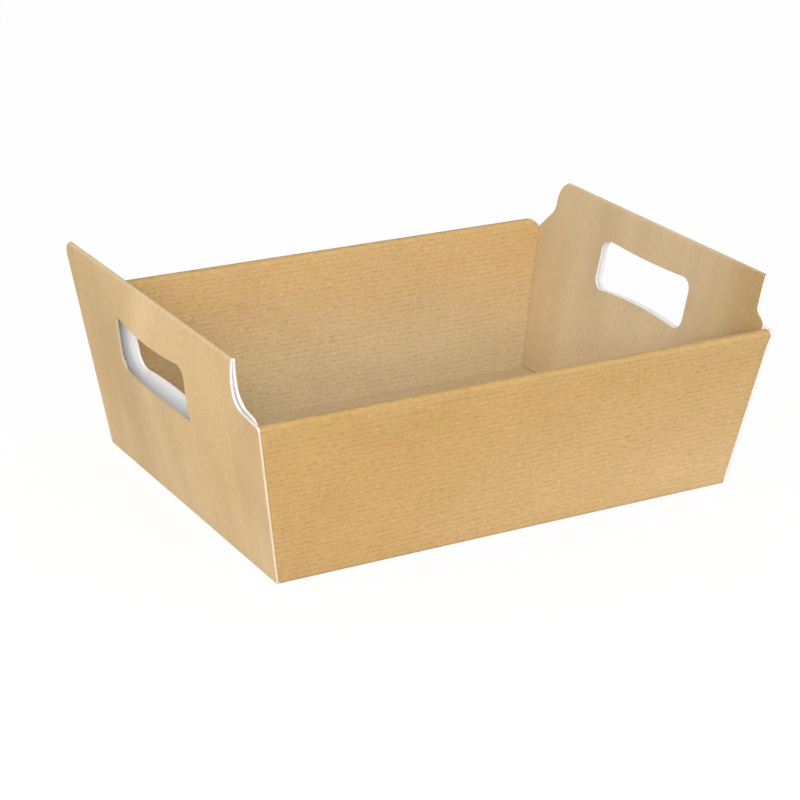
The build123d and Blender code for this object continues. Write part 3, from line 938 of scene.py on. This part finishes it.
class BASKET_OT_fold_sheet(bpy.types.Operator):
    """Cut the sheet, fold it up into the basket and finish its faces and edges"""

    bl_idname = "basket.fold_sheet"
    bl_label = "Fold the sheet"
    bl_options = {"REGISTER", "UNDO"}

    def execute(self, context):
        sizes, look = context.scene.basket_sheet, context.scene.basket_look
        flat = FlatSheet(sizes)
        bm = bmesh.new()
        cut_sheet(bm, flat)
        divide_sheet(bm, flat)
        sheet_map = bm.loops.layers.uv.new(BLANK_MAP)
        for face in bm.faces:
            face.smooth = True
            for loop in face.loops:
                loop[sheet_map].uv = loop.vert.co.xy
        for vert in bm.verts:
            vert.co = flat.folded(vert.co)
        piece = new_object(context, "folded_board", bm)
        group = grain_group()
        piece.data.materials.append(kraft_material(look, flat, group))
        piece.data.materials.append(reverse_material(look, group))
        piece.data.materials.append(core_material(look, flat))
        board = piece.modifiers.new("board", "SOLIDIFY")
        board.thickness = sizes.board
        board.offset = 0.0
        board.use_even_offset = True
        board.material_offset = 1
        board.material_offset_rim = 2
        soft = piece.modifiers.new("soft_edges", "BEVEL")
        soft.width = sizes.edge_soft
        soft.segments = SOFT_PARTS
        soft.limit_method = "ANGLE"
        soft.angle_limit = SOFT_ANGLE
        soft.harden_normals = True
        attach(piece, "root")
        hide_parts(NODE)
        return {"FINISHED"}


class BASKET_OT_set_stage(bpy.types.Operator):
    """Lay the floor, hang the lamps and place the camera"""

    bl_idname = "basket.set_stage"
    bl_label = "Set the stage"
    bl_options = {"REGISTER", "UNDO"}

    def execute(self, context):
        stage = context.scene.basket_stage
        bm = bmesh.new()
        bmesh.ops.create_grid(bm, x_segments=FLOOR_PARTS, y_segments=FLOOR_PARTS, size=stage.floor_size)
        bmesh.ops.translate(bm, verts=bm.verts[:], vec=(0.0, 0.0, -stage.floor_drop))
        floor = new_object(context, "stage_floor", bm)
        floor.data.materials.append(floor_material(stage))
        self.light_world(context, stage)
        for name, size in (("key", stage.lamp_size), ("fill", stage.lamp_size), ("near", stage.near_size)):
            watts = getattr(stage, name + "_power")
            back = away(getattr(stage, name + "_azimuth"), getattr(stage, name + "_elevation"))
            self.hang_lamp(context, name + "_lamp", watts, size, back * stage.lamp_distance)
        self.place_camera(context, stage)
        context.scene.view_settings.view_transform = "Standard"
        return {"FINISHED"}

    def light_world(self, context, stage):
        """Even light all round that the camera sees as plain white."""
        world = bpy.data.worlds.new("studio")
        context.scene.world = world
        world.use_nodes = True
        tree = world.node_tree
        tree.nodes.clear()
        rays = add(tree, "ShaderNodeLightPath")
        seen = calc(tree, "MAXIMUM", rays.outputs["Is Camera Ray"], rays.outputs["Is Transmission Ray"])
        light = add(tree, "ShaderNodeBackground", {"Color": WHITE, "Strength": stage.sky})
        white = add(tree, "ShaderNodeBackground", {"Color": WHITE, "Strength": 1.0})
        both = add(tree, "ShaderNodeMixShader", {0: seen, 1: light.outputs[0], 2: white.outputs[0]})
        add(tree, "ShaderNodeOutputWorld", {"Surface": both.outputs[0]})

    def hang_lamp(self, context, name, watts, size, back):
        """A soft lamp turned to the basket."""
        data = bpy.data.lights.new(name, "AREA")
        data.shape = "SQUARE"
        data.size = size
        data.energy = watts
        lamp = bpy.data.objects.new(name, data)
        lamp.location = back
        lamp.rotation_mode = "QUATERNION"
        lamp.rotation_quaternion = back.to_track_quat("Z", "Y")
        context.scene.collection.objects.link(lamp)

    def place_camera(self, context, stage):
        """The camera at the angle of the picture."""
        data = bpy.data.cameras.new("picture_camera")
        data.lens = stage.lens
        data.clip_start, data.clip_end = CAMERA_CLIP
        camera = bpy.data.objects.new("picture_camera", data)
        back = away(stage.azimuth, stage.elevation)
        camera.location = Vector(stage.aim) + back * stage.distance
        camera.rotation_mode = "QUATERNION"
        camera.rotation_quaternion = back.to_track_quat("Z", "Y") @ Quaternion((0.0, 0.0, 1.0), stage.roll)
        context.scene.collection.objects.link(camera)
        context.scene.camera = camera


def away(azimuth, elevation):
    """The way from the basket to something at those angles; at nothing it is straight in front."""
    level = math.cos(elevation)
    return Vector((math.sin(azimuth) * level, -math.cos(azimuth) * level, math.sin(elevation)))


def floor_material(stage):
    """A pale floor that the camera sees as white, with a faint shadow left on it."""
    made, tree = new_material("pale_floor")
    seen = add(tree, "ShaderNodeLightPath").outputs["Is Camera Ray"]
    tone = calc(tree, "MULTIPLY_ADD", seen, 1.0 - stage.floor_tone, stage.floor_tone)
    pale = add(tree, "ShaderNodeBsdfDiffuse", {"Color": tone})
    white = add(tree, "ShaderNodeEmission", {"Color": WHITE, "Strength": 1.0})
    glow = calc(tree, "MULTIPLY", seen, stage.floor_glow)
    both = add(tree, "ShaderNodeMixShader", {0: glow, 1: pale.outputs[0], 2: white.outputs[0]})
    add(tree, "ShaderNodeOutputMaterial", {"Surface": both.outputs[0]})
    return made


class BASKET_PT_sidebar(bpy.types.Panel):
    """Sizes, looks and stage of the basket"""

    bl_idname = "BASKET_PT_sidebar"
    bl_label = "Folded basket"
    bl_space_type = "VIEW_3D"
    bl_region_type = "UI"
    bl_category = "Basket"

    def draw(self, context):
        for operator, group in (
            (BASKET_OT_fold_sheet, "basket_sheet"),
            (None, "basket_look"),
            (BASKET_OT_set_stage, "basket_stage"),
        ):
            column = self.layout.column(align=True)
            values = getattr(context.scene, group)
            for name in values.bl_rna.properties.keys():
                if name not in ("rna_type", "name"):
                    column.prop(values, name)
            if operator:
                self.layout.operator(operator.bl_idname)


GROUPS = {"basket_sheet": BasketSheet, "basket_look": BasketLook, "basket_stage": BasketStage}
CLASSES = (*GROUPS.values(), BASKET_OT_fold_sheet, BASKET_OT_set_stage, BASKET_PT_sidebar)


def register():
    """Adds the classes and the scene's groups of values."""
    for each in CLASSES:
        bpy.utils.register_class(each)
    for name, kind in GROUPS.items():
        setattr(bpy.types.Scene, name, PointerProperty(type=kind))


def unregister():
    """Takes the classes and the groups of values away again."""
    for name in GROUPS:
        delattr(bpy.types.Scene, name)
    for each in reversed(CLASSES):
        bpy.utils.unregister_class(each)


def main():
    """Folds the basket and sets the stage."""
    register()
    bpy.ops.basket.fold_sheet()
    bpy.ops.basket.set_stage()


if __name__ == "__main__":
    main()
